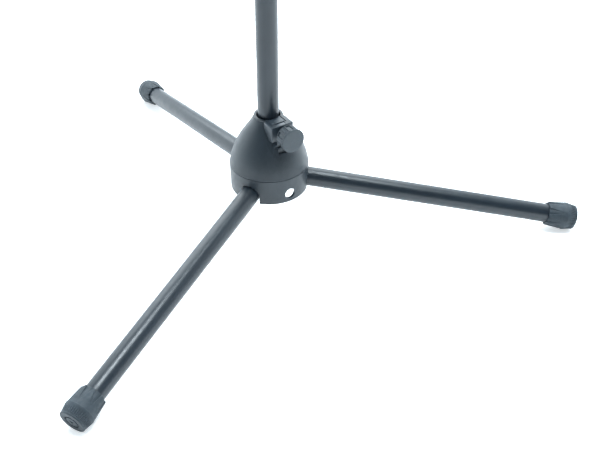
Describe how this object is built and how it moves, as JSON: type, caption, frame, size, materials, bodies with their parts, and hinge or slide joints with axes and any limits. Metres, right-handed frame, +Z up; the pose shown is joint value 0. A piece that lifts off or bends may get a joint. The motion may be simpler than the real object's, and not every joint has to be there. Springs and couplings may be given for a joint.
{
  "type": "music stand",
  "caption": "Folding music stand: tripod base with a domed hub and round rubber-capped legs, clamped telescopic column, and a tilting sheet-steel desk with a bottom ledge.",
  "frame": {"origin": "on the floor, under the middle of the stand's outer box at rest", "axes": "+Z up along the column, +X along the first leg, the desk faces -Y"},
  "size_m": [0.579, 0.596, 1.0444],
  "materials": {
    "hub_paint": "satin slate-black powder coat with a fine grain",
    "tube_paint": "satin slate-black powder coat",
    "desk_paint": "satin slate-black powder coat",
    "foot_rubber": "matt moulded rubber",
    "black_plastic": "fine-grained moulded plastic",
    "nylon": "plain moulded nylon",
    "zinc_steel": "bright zinc-plated or chromed steel"
  },
  "bodies": {
    "hub": {"base_dome": "hub_paint", "base_ring": "hub_paint", "ring_screw_1": "zinc_steel", "ring_screw_2": "zinc_steel", "ring_screw_3": "zinc_steel", "pivot_pin_1": "zinc_steel", "pivot_pin_2": "zinc_steel", "pivot_pin_3": "zinc_steel", "base_nut": "tube_paint"},
    "leg_1": {"leg_1_tube": "tube_paint", "leg_1_heel": "nylon", "leg_1_foot": "foot_rubber"},
    "leg_2": {"leg_2_tube": "tube_paint", "leg_2_heel": "nylon", "leg_2_foot": "foot_rubber"},
    "leg_3": {"leg_3_tube": "tube_paint", "leg_3_heel": "nylon", "leg_3_foot": "foot_rubber"},
    "base_clamp": {"base_shoe": "black_plastic"},
    "base_handle": {"base_knob": "black_plastic", "base_screw": "zinc_steel"},
    "column": {"lower_tube": "tube_paint", "tube_plug": "nylon", "clutch_body": "black_plastic", "clutch_nut": "tube_paint"},
    "clutch_clamp": {"clutch_shoe": "black_plastic"},
    "clutch_handle": {"clutch_knob": "black_plastic", "clutch_screw": "zinc_steel"},
    "slider": {"guide_bush": "nylon"},
    "rod": {"upper_rod": "zinc_steel", "rod_plug": "nylon", "head_block": "black_plastic", "head_pin": "zinc_steel", "tilt_washer_left": "nylon", "tilt_washer_right": "nylon"},
    "desk": {"desk_panel": "desk_paint", "desk_ledge": "desk_paint", "desk_bracket": "desk_paint", "tilt_bolt": "zinc_steel", "bracket_rivet_1": "zinc_steel", "bracket_rivet_2": "zinc_steel", "bracket_rivet_3": "zinc_steel", "bracket_rivet_4": "zinc_steel", "ledge_rivet_1": "zinc_steel", "ledge_rivet_2": "zinc_steel", "ledge_rivet_3": "zinc_steel"},
    "tilt_handle": {"tilt_knob": "black_plastic"}
  },
  "joints": [
    {"name": "leg_1_fold", "type": "hinge", "parent": "hub", "child": "leg_1", "pos_m": [-0.01953, 0, 0.07176], "axis": [0, 1, 0], "range_deg": [0, 79.04]},
    {"name": "leg_2_fold", "type": "hinge", "parent": "hub", "child": "leg_2", "pos_m": [-0.06453, 0.02598, 0.07176], "axis": [-0.866, -0.5, 0], "range_deg": [0, 79.04]},
    {"name": "leg_3_fold", "type": "hinge", "parent": "hub", "child": "leg_3", "pos_m": [-0.06453, -0.02598, 0.07176], "axis": [0.866, -0.5, 0], "range_deg": [0, 79.04]},
    {"name": "column_lift", "type": "slide", "parent": "hub", "child": "column", "axis": [0, 0, 1], "range_m": [0, 0.0276]},
    {"name": "base_clamp_release", "type": "slide", "parent": "hub", "child": "base_clamp", "axis": [0.5373, -0.8434, 0], "range_m": [0, 0.00125]},
    {"name": "base_knob_turn", "type": "hinge", "parent": "base_clamp", "child": "base_handle", "pos_m": [-0.04362, -0.00928, 0.13837], "axis": [0.5373, -0.8434, 0], "range_deg": [0, 360]},
    {"name": "clutch_clamp_release", "type": "slide", "parent": "column", "child": "clutch_clamp", "axis": [0.5373, -0.8434, 0], "range_m": [0, 0.00125]},
    {"name": "clutch_knob_turn", "type": "hinge", "parent": "clutch_clamp", "child": "clutch_handle", "pos_m": [-0.04523, -0.00675, 0.628], "axis": [0.5373, -0.8434, 0], "range_deg": [0, 360]},
    {"name": "height_slide", "type": "slide", "parent": "column", "child": "slider", "axis": [0, 0, 1], "range_m": [-0.06, 0.34]},
    {"name": "desk_swivel", "type": "hinge", "parent": "slider", "child": "rod", "pos_m": [-0.04953, 0, 0.19], "axis": [0, 0, 1], "continuous": true},
    {"name": "desk_tilt", "type": "hinge", "parent": "rod", "child": "desk", "pos_m": [-0.04953, 0, 0.84], "axis": [-1, 0, 0], "range_deg": [-20, 65]},
    {"name": "tilt_knob_turn", "type": "hinge", "parent": "desk", "child": "tilt_handle", "pos_m": [-0.04953, 0, 0.84], "axis": [1, 0, 0], "range_deg": [0, 360]}
  ],
  "couplings": [
    {"joint": "leg_2_fold", "follows": "leg_1_fold", "ratio": 1},
    {"joint": "leg_3_fold", "follows": "leg_1_fold", "ratio": 1},
    {"joint": "column_lift", "follows": "leg_1_fold", "m_per_rad": 0.02},
    {"joint": "base_knob_turn", "follows": "base_clamp_release", "rad_per_m": 5026.5},
    {"joint": "clutch_knob_turn", "follows": "clutch_clamp_release", "rad_per_m": 5026.5}
  ]
}
